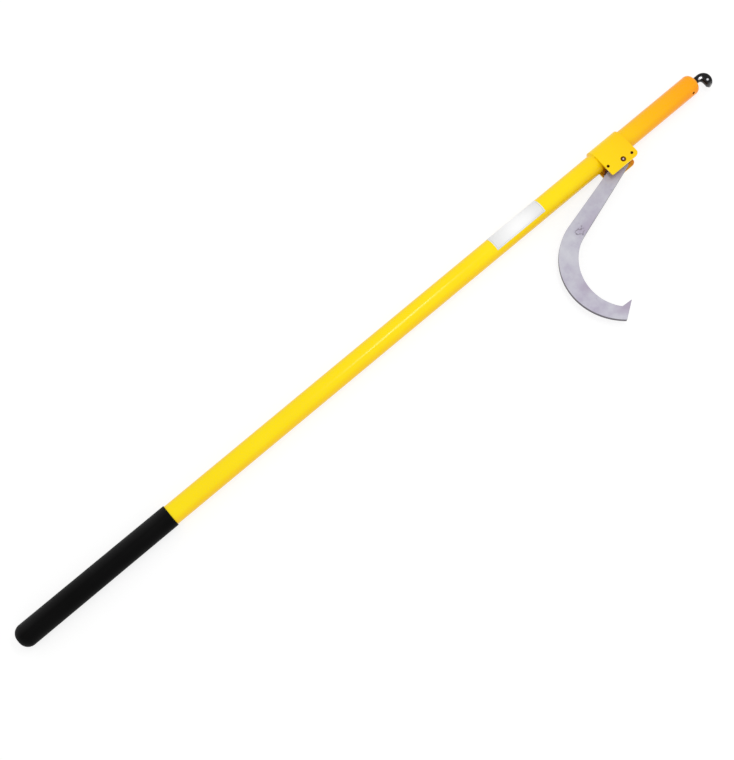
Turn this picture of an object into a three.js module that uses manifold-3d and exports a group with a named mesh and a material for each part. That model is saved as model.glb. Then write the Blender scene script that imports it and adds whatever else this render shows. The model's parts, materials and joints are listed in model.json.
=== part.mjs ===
// A tubular cant hook: a long lever handle with a swinging plate hook and a fixed toe, used to roll logs.
// It lies on its side. +X runs along the handle towards the toe, +Z is the hook's hinge axis, and the hook
// swings on the -Y side. The origin is on the outer face of the lower cheek, in line with the hook pivot
// and halfway down the cheek. All lengths are in millimetres and all angles in degrees.
import * as THREE from "three";
import { mergeVertices } from "three/addons/utils/BufferGeometryUtils.js";
import Module from "manifold-3d";

const wasm = await Module();
wasm.setup();

// Gaps and facets
const seatGap = 0.3; // between two fixed pieces that touch
const runningGap = 0.1; // between the hook's eye and its pivot pin
const overrun = 2; // how far a cutter runs past what it cuts
const roundFacets = 48; // sides of the handle's round pieces
const smallFacets = 24; // sides of pins, bores and washers
const arcStepDegrees = 6; // step along the hook's and the tooth's arcs

// Handle tube and its end plugs
const handleLength = 1524; // over both plugs
const toeReach = 206; // from the hook pivot to the toe plug's face
const tubeRadius = 19.05;
const tubeWall = 2.1;
const plugHeadLength = 12.5;
const plugCornerRadius = 11;
const toeSpigotLength = 34;
const buttSpigotLength = 24;
const buttPlugWall = 3;

// Vinyl grip, thicker and rounder at the butt than at its mouth
const gripLength = 314; // from the butt plug's face to the mouth
const gripMouthWall = 1.2;
const gripButtWall = 1.8;
const gripEndWall = 9.4;
const gripEndRadius = 17.5;
const gripLipRadius = 0.5;

// Bracket: a strap bent round the tube, with two flat cheeks that carry the hook
const strapWall = 3.8;
const bracketToeReach = 29; // from the pivot to the bracket's toe end
const bracketButtReach = 34.5; // from the pivot to the bracket's butt end
const cheekMargin = 10.5; // from the pivot down to the cheeks' lower edge
const cheekToeCornerRadius = 8;
const cheekButtCornerRadius = 3;

// Pivot pin, with turned-down bright ends, and the pieces threaded on it
const pivotPinRadius = 4.75;
const pivotPinEndRadius = 2.3;
const pivotPinEndDepth = 1.4;
const flushDepth = 0.2; // how far pin ends lie below the cheeks' faces
const spacerRadius = 8;
const washerRadius = 10.4;
const washerThickness = 1.6;

// Stop pins: slotted spring pins across the cheeks
const stopPinRadius = 2.5;
const stopPinWall = 0.7;
const stopPinSlot = 1.1;
const closingPinEdgeMargin = 4.9; // from the cheeks' butt end to the closing pin's middle
const openingPinMargin = 5.1; // from the hook's heel to the opening pin's surface
const openingPinAngle = -3.5; // direction from the pivot

// Hook: a flat plate with a straight shank and a bend whose outer edge has two radii
const hookThickness = 9.5;
const eyeRadius = 11.5;
const heelRadius = 11.7; // from the pivot to the shank's inner edge
const heelAngle = -50; // where the eye's round end meets the heel
const eyeTubeGap = 0.45; // between the eye and the tube
const shankLength = 151.5; // straight inner edge, from the heel to the throat's bend
const shankAngle = 197.7; // direction of the inner edge, away from the eye
const outerEdgeExtra = 2.3; // how much longer the straight outer edge is
const outerEdgeAngle = 194.3; // direction of the outer edge, away from the eye
const throatRadius = 87.1;
const throatEndAngle = 219.9; // where the bends end, seen from their centres
const shoulderMargin = 20.8; // how much more than the throat's the outer edge's tighter radius is
const shoulderEndAngle = 194.2;
const backMargin = 31.5; // the same for its wider radius
const backEndAngle = 229.7;
const nookRadius = 5; // between the throat and the point
const pointAngle = 231.3; // the hook's point, seen from the throat's centre
const pointHeight = 13.7; // how far the point stands in from the throat's bend

// Toe tooth: a round shank that bends into a beak turned towards the hook
const toothShankRadius = 6.2;
const toothShankLength = 42; // inside the toe plug
const toothNeckLength = 2; // still round outside the plug
const toothCrownRadius = 16.6;
const toothReach = 29.1; // from the toe plug's face
const toothHalfWidth = 7.5;
const toothCrownEndAngle = -58;
const toothMouthReach = 12.2; // from the toe plug's face to the beak's inner side
const toothMouthRadius = 5.5;
const toothTipWidth = 5.4;
const toothTipSlant = 4.6; // how far up the beak its tip is ground back
const toothSquareness = 1.6; // how much flatter than a circle the beak's section is
const toothRings = 20; // sections along the beak
const toothBendShare = 0.45; // share of them used by the bend of the mouth

// Set screw that locks the tooth's shank and the toe plug in the tube
const setScrewRadius = 2.4;
const setScrewReach = 18.8; // back from the toe plug's face
const setScrewAngle = 66; // from +Z towards the hook's side
const setScrewRecess = 0.8;
const setScrewSocketRadius = 1.5;
const setScrewSocketDepth = 2.5;

// Sizes that follow from those above
const tubeBore = tubeRadius - tubeWall;
const spigotRadius = tubeBore - seatGap;
const strapInside = tubeRadius + seatGap;
const bracketHalfWidth = strapInside + strapWall;
const pivotDrop = tubeRadius + eyeTubeGap + eyeRadius;
const cheekDrop = pivotDrop + cheekMargin;
const buttFace = toeReach - handleLength;
const hookHalfThickness = hookThickness / 2;
const shoulderRadius = throatRadius + shoulderMargin;
const backRadius = throatRadius + backMargin;
const outerNormal = outerEdgeAngle - 90;
const innerNormal = shankAngle + 90;

const paintYellow = new THREE.MeshStandardMaterial({ color: "#f6c51c", roughness: 0.42, metalness: 0 });
const vinylBlack = new THREE.MeshStandardMaterial({ color: "#151515", roughness: 0.75, metalness: 0 });
const plasticBlack = new THREE.MeshStandardMaterial({ color: "#232323", roughness: 0.6, metalness: 0 });
const plateSteel = new THREE.MeshStandardMaterial({ color: "#b0b3bb", roughness: 0.45, metalness: 0.8 });
const brightSteel = new THREE.MeshStandardMaterial({ color: "#c4c3c6", roughness: 0.25, metalness: 1 });
const blackSteel = new THREE.MeshStandardMaterial({ color: "#2a2a2d", roughness: 0.25, metalness: 0.9 });

const radians = THREE.MathUtils.degToRad;
const polar = (radius, degrees) => new THREE.Vector2(
  radius * Math.cos(radians(degrees)),
  radius * Math.sin(radians(degrees)),
);

// Points along a circle's arc, both ends included
function arc(centre, radius, fromDegrees, toDegrees, stepDegrees = arcStepDegrees) {
  const steps = Math.max(1, Math.ceil(Math.abs(toDegrees - fromDegrees) / stepDegrees));
  return Array.from({ length: steps + 1 }, (_, step) => {
    const degrees = THREE.MathUtils.lerp(fromDegrees, toDegrees, step / steps);
    return polar(radius, degrees).add(centre);
  });
}

// Replaces a sharp corner of an outline by a round one
function roundedCorner(before, corner, after, radius, steps = 5) {
  const towardsBefore = before.clone().sub(corner).normalize();
  const towardsAfter = after.clone().sub(corner).normalize();
  const halfAngle = Math.acos(towardsBefore.dot(towardsAfter)) / 2;
  const centre = towardsBefore.clone().add(towardsAfter).normalize()
    .multiplyScalar(radius / Math.sin(halfAngle)).add(corner);
  const run = radius / Math.tan(halfAngle);
  const first = towardsBefore.multiplyScalar(run).add(corner).sub(centre);
  const last = towardsAfter.multiplyScalar(run).add(corner).sub(centre);
  let turn = last.angle() - first.angle();
  turn -= 2 * Math.PI * Math.round(turn / (2 * Math.PI));
  const origin = new THREE.Vector2();
  return Array.from({ length: steps + 1 }, (_, step) => (
    first.clone().rotateAround(origin, turn * step / steps).add(centre)
  ));
}

// Makes a mesh's faces point outwards, whichever way round its outline was drawn
function facingOut(geometry) {
  const merged = solidReady(geometry);
  const index = merged.getIndex();
  const position = merged.getAttribute("position");
  const corner = [0, 1, 2].map(() => new THREE.Vector3());
  let sixVolumes = 0;
  for (let face = 0; face < index.count; face += 3) {
    corner.forEach((point, k) => point.fromBufferAttribute(position, index.getX(face + k)));
    sixVolumes += corner[0].dot(corner[1].clone().cross(corner[2]));
  }
  if (sixVolumes < 0) {
    for (let face = 0; face < index.count; face += 3) {
      const first = index.getX(face);
      index.setX(face, index.getX(face + 1));
      index.setX(face + 1, first);
    }
  }
  return merged;
}

function solidReady(geometry) {
  geometry.deleteAttribute("normal");
  geometry.deleteAttribute("uv");
  return mergeVertices(geometry);
}

function toSolid(geometry) {
  const closed = facingOut(geometry);
  return new wasm.Manifold(new wasm.Mesh({
    numProp: 3,
    vertProperties: new Float32Array(closed.getAttribute("position").array),
    triVerts: new Uint32Array(closed.getIndex().array),
  }));
}

function toGeometry(solid) {
  const mesh = solid.getMesh();
  const geometry = new THREE.BufferGeometry();
  geometry.setAttribute("position", new THREE.BufferAttribute(mesh.vertProperties, 3));
  geometry.setIndex(new THREE.BufferAttribute(mesh.triVerts, 1));
  geometry.computeVertexNormals();
  return geometry;
}

// Turns a profile of [distance along the axis, radius] points round the X axis
function revolve(profile, facets = roundFacets) {
  const points = profile.map(([along, radius]) => new THREE.Vector2(radius, along));
  return facingOut(new THREE.LatheGeometry(points, facets).rotateZ(radians(-90)));
}

// The same, round the Z axis
function revolveUpright(profile, facets = smallFacets) {
  return facingOut(revolve(profile, facets).rotateY(radians(-90)));
}

function ringProfile(from, to, outerRadius, innerRadius) {
  return [[from, innerRadius], [from, outerRadius], [to, outerRadius], [to, innerRadius], [from, innerRadius]];
}

function rodProfile(from, to, radius) {
  return [[from, 0], [from, radius], [to, radius], [to, 0]];
}

// An outline in the XY plane, made thick evenly above and below it
function plate(outline, thickness) {
  const geometry = new THREE.ExtrudeGeometry(new THREE.Shape(outline), { depth: thickness, bevelEnabled: false });
  return facingOut(geometry.translate(0, 0, -thickness / 2));
}

// A bore along Z, long enough to pass through the bracket
function uprightBore(x, y, radius, facets = smallFacets) {
  const reach = bracketHalfWidth + overrun;
  return toSolid(revolveUpright(rodProfile(-reach, reach, radius), facets).translate(x, y, 0));
}

function add(group, name, geometry, material) {
  const mesh = new THREE.Mesh(geometry, material);
  mesh.name = name;
  group.add(mesh);
  return mesh;
}

// The hook's outline: straight shank edges that leave the eye and run on into the bends
function hookOutline() {
  const pivot = new THREE.Vector2();
  const shoulder = polar(eyeRadius - shoulderRadius, outerNormal)
    .add(polar(shankLength + outerEdgeExtra, outerEdgeAngle));
  const throat = polar(heelRadius + throatRadius, innerNormal).add(polar(shankLength, shankAngle));
  const shoulderEnd = polar(shoulderRadius, shoulderEndAngle).add(shoulder);
  const back = polar(-backRadius, shoulderEndAngle).add(shoulderEnd);
  const point = polar(throatRadius - pointHeight, pointAngle).add(throat);
  const heelSpan = innerNormal - 360 - heelAngle;
  const heelRun = (heelRadius - eyeRadius * Math.cos(radians(heelSpan))) / Math.sin(radians(-heelSpan));
  const heel = polar(eyeRadius, heelAngle).add(polar(heelRun, heelAngle - 90));
  const [nook, beforeNook, ...throatEdge] = arc(throat, throatRadius, throatEndAngle, innerNormal - 180);
  return [
    ...arc(pivot, eyeRadius, heelAngle, outerNormal),
    ...arc(shoulder, shoulderRadius, outerNormal, shoulderEndAngle),
    ...arc(back, backRadius, shoulderEndAngle, backEndAngle).slice(1),
    point,
    ...roundedCorner(point, nook, beforeNook, nookRadius),
    beforeNook,
    ...throatEdge,
    heel,
  ];
}

function makeHook() {
  const eyeBore = uprightBore(0, 0, pivotPinRadius + runningGap);
  return toGeometry(toSolid(plate(hookOutline(), hookThickness)).subtract(eyeBore));
}

// Stop pins, placed from the pivot: the hook's shank rests on one and swings open to the other
function stopPinPlaces() {
  const closingX = closingPinEdgeMargin - bracketButtReach;
  const closingDistance = eyeRadius + seatGap + stopPinRadius;
  const closingY = (closingDistance - closingX * Math.cos(radians(outerNormal))) / Math.sin(radians(outerNormal));
  return {
    closing_stop_pin: new THREE.Vector2(closingX, closingY),
    opening_stop_pin: polar(heelRadius + openingPinMargin + stopPinRadius, openingPinAngle),
  };
}

function makeStopPin() {
  const half = bracketHalfWidth - flushDepth;
  const inside = stopPinRadius - stopPinWall;
  const halfSlot = THREE.MathUtils.radToDeg(Math.asin(stopPinSlot / (2 * stopPinRadius)));
  const origin = new THREE.Vector2();
  const step = 360 / smallFacets;
  const outline = [
    ...arc(origin, stopPinRadius, halfSlot, 360 - halfSlot, step),
    ...arc(origin, inside, 360 - halfSlot, halfSlot, step),
  ];
  return plate(outline, 2 * half);
}

function makePivotPin() {
  const end = bracketHalfWidth - flushDepth;
  const groove = end - pivotPinEndDepth;
  return revolveUpright([
    [-end, 0],
    [-end, pivotPinEndRadius],
    [-groove, pivotPinEndRadius],
    [-groove, pivotPinRadius],
    [groove, pivotPinRadius],
    [groove, pivotPinEndRadius],
    [end, pivotPinEndRadius],
    [end, 0],
  ]);
}

// The strap's section bends round the tube and runs down to the cheeks' lower edges
function strapSection() {
  const section = new THREE.Shape();
  section.moveTo(-cheekDrop, bracketHalfWidth);
  section.lineTo(0, bracketHalfWidth);
  section.absarc(0, 0, bracketHalfWidth, radians(90), radians(-90), true);
  section.lineTo(-cheekDrop, -bracketHalfWidth);
  section.lineTo(-cheekDrop, -strapInside);
  section.lineTo(0, -strapInside);
  section.absarc(0, 0, strapInside, radians(-90), radians(90), false);
  section.lineTo(-cheekDrop, strapInside);
  section.closePath();
  return section;
}

function cheekOutline() {
  const top = bracketHalfWidth + overrun;
  const toeTop = new THREE.Vector2(bracketToeReach, top);
  const toeCorner = new THREE.Vector2(bracketToeReach, -cheekDrop);
  const buttCorner = new THREE.Vector2(-bracketButtReach, -cheekDrop);
  const buttTop = new THREE.Vector2(-bracketButtReach, top);
  return [
    toeTop,
    buttTop,
    ...roundedCorner(buttTop, buttCorner, toeCorner, cheekButtCornerRadius),
    ...roundedCorner(buttCorner, toeCorner, toeTop, cheekToeCornerRadius),
  ];
}

function makeBracket() {
  const length = bracketToeReach + bracketButtReach;
  const strap = new THREE.ExtrudeGeometry(strapSection(), {
    depth: length,
    bevelEnabled: false,
    curveSegments: roundFacets / 2,
  });
  const yAxis = new THREE.Vector3(0, 1, 0);
  const zAxis = new THREE.Vector3(0, 0, 1);
  const xAxis = new THREE.Vector3(1, 0, 0);
  strap.applyMatrix4(new THREE.Matrix4().makeBasis(yAxis, zAxis, xAxis)).translate(-bracketButtReach, 0, 0);
  const fullWidth = 2 * (bracketHalfWidth + overrun);
  let bracket = toSolid(strap).intersect(toSolid(plate(cheekOutline(), fullWidth)));
  bracket = bracket.subtract(uprightBore(0, -pivotDrop, pivotPinRadius + seatGap));
  for (const place of Object.values(stopPinPlaces())) {
    bracket = bracket.subtract(uprightBore(place.x, place.y - pivotDrop, stopPinRadius + seatGap));
  }
  return toGeometry(bracket);
}

// A rounded outer edge, as profile points from the end face's flat to the full radius
function roundedEnd(face, radius, cornerRadius, towards) {
  const centre = new THREE.Vector2(face - towards * cornerRadius, radius - cornerRadius);
  const faceAngle = towards > 0 ? 0 : 180;
  return arc(centre, cornerRadius, faceAngle, 90, 15).map((point) => [point.x, point.y]);
}

// A bore from the tube's outside to its axis, along the set screw
function setScrewBore(radius) {
  const bore = revolveUpright(rodProfile(0, tubeRadius + overrun, radius), smallFacets);
  return toSolid(bore.rotateX(radians(setScrewAngle)).translate(toeReach - setScrewReach, 0, 0));
}

function makeTube() {
  const from = buttFace + plugHeadLength + seatGap;
  const to = toeReach - plugHeadLength - seatGap;
  const tube = toSolid(revolve(ringProfile(from, to, tubeRadius, tubeBore)));
  return toGeometry(tube.subtract(setScrewBore(setScrewRadius + seatGap)));
}

function makeToePlug() {
  const bore = toothShankRadius + seatGap;
  const shoulder = toeReach - plugHeadLength;
  const spigotEnd = shoulder - toeSpigotLength;
  const plug = toSolid(revolve([
    [spigotEnd, bore],
    [spigotEnd, spigotRadius],
    [shoulder, spigotRadius],
    [shoulder, tubeRadius],
    ...roundedEnd(toeReach, tubeRadius, plugCornerRadius, 1).reverse(),
    [toeReach, bore],
    [spigotEnd, bore],
  ]));
  return toGeometry(plug.subtract(setScrewBore(setScrewRadius + seatGap)));
}

function makeButtPlug() {
  const shoulder = buttFace + plugHeadLength;
  const spigotEnd = shoulder + buttSpigotLength;
  const inside = spigotRadius - buttPlugWall;
  return revolve([
    [buttFace, 0],
    ...roundedEnd(buttFace, tubeRadius, plugCornerRadius, -1),
    [shoulder, tubeRadius],
    [shoulder, spigotRadius],
    [spigotEnd, spigotRadius],
    [spigotEnd, inside],
    [shoulder, inside],
    [shoulder, 0],
  ]);
}

function makeGrip() {
  const inside = tubeRadius + seatGap;
  const mouth = buttFace + gripLength;
  const pocket = buttFace - seatGap;
  const outerEnd = pocket - gripEndWall;
  const mouthRadius = inside + gripMouthWall;
  return revolve([
    [outerEnd, 0],
    ...roundedEnd(outerEnd, inside + gripButtWall, gripEndRadius, -1),
    ...roundedEnd(mouth, mouthRadius, gripLipRadius, 1).reverse(),
    [mouth, inside],
    ...roundedEnd(pocket, inside, plugCornerRadius + seatGap, -1).reverse(),
    [pocket, 0],
  ]);
}

// One section of the tooth, from its mouth side to its crown side, flatter than a circle where square > 1
function toothSection(mouthSide, crownSide, halfWidth, square) {
  const middle = mouthSide.clone().lerp(crownSide, 0.5);
  const reach = crownSide.clone().sub(middle);
  const flatten = (share) => Math.sign(share) * Math.abs(share) ** (1 / square);
  return arc(new THREE.Vector2(), 1, 0, 360, 360 / smallFacets).slice(1).map((around) => {
    const place = reach.clone().multiplyScalar(flatten(around.x)).add(middle);
    return new THREE.Vector3(place.x, place.y, halfWidth * flatten(around.y));
  });
}

// Joins rings with the same number of points into a closed skin with flat ends
function skin(rings) {
  const count = rings[0].length;
  const faces = [];
  for (let low = 0; low < (rings.length - 1) * count; low += count) {
    const high = low + count;
    for (let k = 0; k < count; k += 1) {
      const next = (k + 1) % count;
      faces.push(low + k, low + next, high + next, low + k, high + next, high + k);
    }
  }
  const last = (rings.length - 1) * count;
  for (let k = 1; k < count - 1; k += 1) {
    faces.push(0, k + 1, k, last, last + k, last + k + 1);
  }
  const geometry = facingOut(new THREE.BufferGeometry().setFromPoints(rings.flat()).setIndex(faces));
  geometry.computeVertexNormals();
  return geometry;
}

// The tooth is skinned over sections that bend round its mouth, from the round shank to the flat tip
function makeTooth() {
  const round = toothShankRadius;
  const crown = new THREE.Vector2(toothReach - toothCrownRadius, round - toothCrownRadius);
  const crownEdge = arc(
    crown, toothCrownRadius, 90, toothCrownEndAngle, (90 - toothCrownEndAngle) / (toothRings - 1),
  ).slice(0, toothRings);
  const tipBack = crownEdge[toothRings - 1];
  const tipFront = new THREE.Vector2(tipBack.x - toothTipWidth, tipBack.y);
  const mouthLow = new THREE.Vector2(toothMouthReach, tipBack.y + toothTipSlant);
  const mouthHigh = new THREE.Vector2(toothMouthReach, -round);
  const neck = new THREE.Vector2(toothNeckLength, -round);
  const bendRings = Math.round(toothRings * toothBendShare);
  const bend = roundedCorner(neck, mouthHigh, mouthLow, toothMouthRadius, bendRings - 1);
  const straightRings = toothRings - bendRings - 1;
  const straight = Array.from({ length: straightRings }, (_, step) => (
    bend[bendRings - 1].clone().lerp(mouthLow, (step + 1) / straightRings)
  ));
  const mouthEdge = [...bend, ...straight, tipFront];
  const shankEnds = [-toothShankLength, toothNeckLength];
  const shank = shankEnds.map((x) => (
    toothSection(new THREE.Vector2(x, -round), new THREE.Vector2(x, round), round, 1)
  ));
  const beak = mouthEdge.map((mouthSide, ring) => {
    const share = Math.min(1, ring / bendRings);
    const halfWidth = THREE.MathUtils.lerp(round, toothHalfWidth, share);
    return toothSection(mouthSide, crownEdge[ring], halfWidth, THREE.MathUtils.lerp(1, toothSquareness, share));
  });
  return skin([...shank, ...beak]);
}

function makeSetScrew() {
  const foot = toothShankRadius + seatGap;
  const top = tubeRadius - setScrewRecess;
  const body = toSolid(revolveUpright(rodProfile(foot, top, setScrewRadius)));
  const socket = toSolid(revolveUpright(rodProfile(top - setScrewSocketDepth, top + overrun, setScrewSocketRadius), 6));
  return toGeometry(body.subtract(socket));
}

const tool = new THREE.Group();
tool.position.set(0, cheekDrop / 2, bracketHalfWidth);

add(tool, "handle_tube", makeTube(), paintYellow);
add(tool, "butt_plug", makeButtPlug(), plasticBlack);
add(tool, "grip", makeGrip(), vinylBlack);
add(tool, "toe_plug", makeToePlug(), paintYellow);
add(tool, "bracket", makeBracket(), paintYellow);

const toe = new THREE.Group();
toe.position.x = toeReach;
add(toe, "toe_tooth", makeTooth(), blackSteel);
const setScrew = add(toe, "toe_set_screw", makeSetScrew(), blackSteel);
setScrew.position.x = -setScrewReach;
setScrew.rotation.x = radians(setScrewAngle);
tool.add(toe);

const pivot = new THREE.Group();
pivot.position.y = -pivotDrop;
add(pivot, "hook", makeHook(), plateSteel);
add(pivot, "pivot_pin", makePivotPin(), brightSteel);
for (const [name, place] of Object.entries(stopPinPlaces())) {
  add(pivot, name, makeStopPin(), blackSteel).position.set(place.x, place.y, 0);
}
const pinBore = pivotPinRadius + seatGap;
const washerFrom = hookHalfThickness + seatGap;
const spacerFrom = washerFrom + washerThickness + seatGap;
const spacerTo = strapInside - seatGap;
const washerProfile = ringProfile(washerFrom, washerFrom + washerThickness, washerRadius, pinBore);
const spacerProfile = ringProfile(spacerFrom, spacerTo, spacerRadius, pinBore);
for (const [side, turn] of Object.entries({ upper: 0, lower: 180 })) {
  add(pivot, `${side}_washer`, revolveUpright(washerProfile), brightSteel).rotation.x = radians(turn);
  add(pivot, `${side}_spacer`, revolveUpright(spacerProfile), plateSteel).rotation.x = radians(turn);
}
tool.add(pivot);

export default tool;
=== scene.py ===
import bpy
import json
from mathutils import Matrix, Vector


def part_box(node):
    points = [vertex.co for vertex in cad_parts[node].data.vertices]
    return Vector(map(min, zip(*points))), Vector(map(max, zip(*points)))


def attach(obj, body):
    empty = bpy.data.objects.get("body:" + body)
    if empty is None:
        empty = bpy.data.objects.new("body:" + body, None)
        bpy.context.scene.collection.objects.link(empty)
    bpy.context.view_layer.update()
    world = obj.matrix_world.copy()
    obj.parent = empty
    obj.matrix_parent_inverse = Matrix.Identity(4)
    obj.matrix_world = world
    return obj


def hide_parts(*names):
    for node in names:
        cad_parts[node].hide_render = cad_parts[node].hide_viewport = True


bl_info = {
    "name": "Cant Hook",
    "version": (1, 0, 0),
    "blender": (4, 5, 0),
    "location": "3D View > Sidebar > Cant Hook",
    "description": "Finished pieces of a tubular cant hook, built round its frame, with a plain studio",
    "category": "Add Mesh",
}

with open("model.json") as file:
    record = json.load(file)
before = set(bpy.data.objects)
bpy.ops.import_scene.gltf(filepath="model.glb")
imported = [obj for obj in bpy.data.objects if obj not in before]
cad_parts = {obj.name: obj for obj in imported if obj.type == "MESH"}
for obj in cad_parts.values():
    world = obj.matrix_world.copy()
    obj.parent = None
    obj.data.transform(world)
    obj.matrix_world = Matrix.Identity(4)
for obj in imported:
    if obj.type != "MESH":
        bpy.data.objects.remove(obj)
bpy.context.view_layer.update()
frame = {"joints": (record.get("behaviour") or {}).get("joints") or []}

import json
import math

import bmesh
import bpy
from bpy.props import FloatProperty, FloatVectorProperty, IntProperty, PointerProperty
from mathutils import Matrix, Vector

# +X runs along the handle towards the toe, +Z is the hook's hinge axis, and the hook is on the -Y side.
ALONG = Vector((1, 0, 0))
AWAY = Vector((0, 1, 0))
UPRIGHT = Vector((0, 0, 1))

tube_low, tube_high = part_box("handle_tube")
grip_low, grip_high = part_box("grip")
plug_low, plug_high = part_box("toe_plug")
bracket_low, bracket_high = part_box("bracket")
tooth_low, tooth_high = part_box("toe_tooth")
hook_low, hook_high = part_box("hook")
AXIS = (tube_low + tube_high) / 2 * Vector((0, 1, 1))
PIVOT = Vector(frame["joints"][0]["pos_m"])
TUBE_RADIUS = (tube_high.z - tube_low.z) / 2
BRACKET_HALF_WIDTH = (bracket_high.z - bracket_low.z) / 2
WHITE = (1, 1, 1)

# Corners closer than the first value are one corner. Edges that turn by more than the second stay sharp.
SAME_PLACE = 0.000001
SHARP_ANGLE = math.radians(32)

# How deep the finishes' small reliefs are: the coat's peel, the weld's ripples, and so on.
PEEL_DEPTH = 0.0004
RIPPLE_DEPTH = 0.0012
WAVE_DEPTH = 0.002
GRAIN_DEPTH = 0.0003
ROLLING_DEPTH = 0.0005
CUT_DEPTH = 0.0004
FINE_DEPTH = 0.0002

# The camera's sensor in millimetres, and the nearest and farthest places that it sees in metres.
SENSOR_WIDTH = 36
NEAREST_SEEN = 0.05
FARTHEST_SEEN = 50


def metres(value, description):
    """A length, or a place in the shared frame."""
    if isinstance(value, tuple):
        return FloatVectorProperty(description=description, default=value, subtype="XYZ", unit="LENGTH")
    return FloatProperty(description=description, default=value, unit="LENGTH")


def degrees(value, description):
    return FloatProperty(description=description, default=math.radians(value), subtype="ANGLE")


def number(value, description, **limits):
    return FloatProperty(description=description, default=value, **limits)


def linear(value, description):
    """A colour, or what a colour is multiplied by, as linear values."""
    return FloatVectorProperty(description=description, default=value, subtype="COLOR", min=0, max=2)


def screen(value, description):
    """A colour as read from a screen, each part 0 to 255, kept as linear values."""
    shares = [part / 255 for part in value]
    value = [share / 12.92 if share < 0.04045 else ((share + 0.055) / 1.055) ** 2.4 for share in shares]
    return linear(value, description)


class HandleSettings(bpy.types.PropertyGroup):
    """The painted tube, its toe plug and the set screw"""

    tube_wall: metres(0.0021, "Thickness of the tube's wall")
    end_rounding: metres(0.0002, "Radius of the tube's deburred ends")
    plug_rounding: metres(0.011, "Radius of the toe plug's rounded end")
    plug_wall: metres(0.003, "Wall of the butt plug's hollow spigot")
    plug_bore: metres(0.00635, "Radius of the bore that takes the tooth")
    screw_reach: metres(0.0188, "From the toe plug's face back to the set screw")
    screw_angle: degrees(66, "From straight up round to the hook's side")
    screw_radius: metres(0.0024, "Outer radius of the set screw")
    screw_recess: metres(0.0008, "How far the screw's top lies below the tube")
    socket_share: number(0.62, "The socket's radius as a share of the screw's")
    socket_turn: degrees(3, "How far the screw's socket is turned")
    butt_paint: screen((254, 226, 6), "Paint along most of the handle")
    collar_paint: screen((254, 213, 6), "Paint at the bracket")
    # Painted shade: what the paint on the tube's flanks is multiplied by, so they read darker and more
    # orange as if the light fell off there.
    painted_flank_shade: linear((1.0, 0.8, 0.6), "Multiplies the paint on the tube's flanks")
    # Colour at the toe end: the yellow turns deeper orange towards the toe.
    toe_end_colour: screen((254, 164, 8), "Deeper paint at the toe end")
    fade_start: metres(-0.42, "From the pivot back to where the paint starts to deepen")
    # Where the painted flank shade starts, as a share of the tube's radius.
    painted_shade_flank_share: number(0.55, "Share of the tube's radius beyond which its flanks turn darker")
    cloud_shade: linear((0.985, 0.955, 0.8), "Multiplies the paint where it is thinnest")


class GripSettings(bpy.types.PropertyGroup):
    """The dipped vinyl grip"""

    mouth_wall: metres(0.0015, "Thickness of the vinyl at the mouth")
    butt_wall: metres(0.0021, "Thickness of the vinyl near the butt")
    end_wall: metres(0.0094, "Thickness of the vinyl over the butt")
    end_rounding: metres(0.0175, "Radius of the butt's rounded end")
    lip_rounding: metres(0.0005, "Radius of the mouth's lip")
    colour: screen((7, 7, 7), "Colour of the vinyl")
    # Painted light: the vinyl's lighter colour on the side away from the hook.
    painted_lit_side_colour: screen((33, 33, 33), "Colour of the vinyl on the side away from the hook")
    plug_colour: linear((0.02, 0.02, 0.0213), "Colour of the plug under the grip")


class BracketSettings(bpy.types.PropertyGroup):
    """The strap bracket and its welds"""

    wall: metres(0.0038, "Thickness of the strap")
    toe_corner: metres(0.008, "Radius of the cheeks' toe corners")
    butt_corner: metres(0.003, "Radius of the cheeks' butt corners")
    edge_rounding: metres(0.0006, "Radius of the painted edges")
    weld_leg: metres(0.0024, "Height of the weld at the collar's ends")
    weld_span: degrees(150, "How far the welds run round the tube")
    bend_steps: IntProperty(description="Facets round the strap's bend", default=48, min=12, max=128)
    inner_share: number(0.96, "Share of the strap's wall at which its inner faces are told apart")
    # Painted shade: the deep orange laid on the paint in the recess between the cheeks.
    rust: screen((230, 136, 14), "Colour that shows through the thin coat between the cheeks")


class PinSettings(bpy.types.PropertyGroup):
    """The pivot pin, the stop pins and the pieces threaded on the pivot"""

    pivot_radius: metres(0.00475, "Radius of the pivot pin")
    pivot_end_radius: metres(0.0018, "Radius of the bright turned ends")
    pivot_end_depth: metres(0.0014, "Depth of the groove round the bright ends")
    flush_depth: metres(0.0002, "How far the pins lie below the cheeks")
    stop_radius: metres(0.0025, "Radius of the slotted stop pins")
    stop_wall: metres(0.0007, "Wall of the slotted stop pins")
    stop_slot: metres(0.0011, "Width of the stop pins' slot")
    slot_side: degrees(180, "Direction in which the stop pins' slots open")
    bore_gap: metres(0.0003, "Gap round a pin in its bore")
    running_gap: metres(0.0001, "Gap between the hook's eye and the pivot pin")
    turning_pitch: metres(0.00024166, "Between the fine rings that turning leaves")
    bright_steel: screen((206, 192, 192), "Colour of turned and plated steel")
    dark_steel: screen((108, 58, 22), "Colour of oil-blackened steel")
    zinc: linear((0.52, 0.53, 0.55), "Colour of the plated washers and spacers")
    dark_zinc: linear((0.36, 0.37, 0.4), "Colour of the plating's darker cells")


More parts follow.
